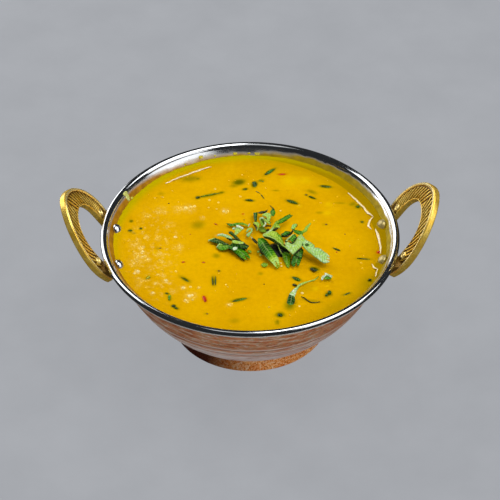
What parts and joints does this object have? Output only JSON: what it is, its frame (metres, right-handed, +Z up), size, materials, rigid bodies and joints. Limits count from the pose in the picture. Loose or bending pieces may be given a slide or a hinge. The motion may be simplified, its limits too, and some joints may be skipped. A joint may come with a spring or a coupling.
{
  "type": "dal tadka in a serving bowl",
  "caption": "Yellow lentil dal in a steel-lined copper bowl on a foot ring, with cast brass ring handles and a heap of chopped coriander.",
  "frame": {"origin": "centre of the foot ring's underside, on the bowl's axis", "axes": "+X from the bowl's axis towards the right-hand handle, +Y towards the back of the bowl, +Z up along the bowl's axis"},
  "size_m": [0.1874, 0.15, 0.0822],
  "materials": {
    "steel": "polished stainless steel, bright on the rolled edge, with fine turning marks and a film of dal on the inner wall",
    "jacket_copper": "copper with a dulled brown-pink patina, turned rings and worn lighter bands",
    "foot_copper": "bright orange copper, lightly hammered, darker in its hollows",
    "brass": "cast brass with carved flutes darkened in their hollows, and polished edges",
    "dal": "thick smooth yellow lentil soup, wet and glossy, with an oily edge and small bubbles",
    "coriander": "fresh chopped coriander leaves, darker on top and paler below",
    "spices": "red chilli flakes, brown cumin and dark specks"
  },
  "bodies": {
    "root": {"steel_bowl": "steel", "copper_jacket": "jacket_copper", "foot_ring": "foot_copper", "dal": "dal", "coriander_heap": "coriander", "handle_left": "brass", "handle_right": "brass", "rivet_left_back": "steel", "rivet_left_front": "steel", "rivet_right_back": "steel", "rivet_right_front": "steel"}
  },
  "joints": []
}
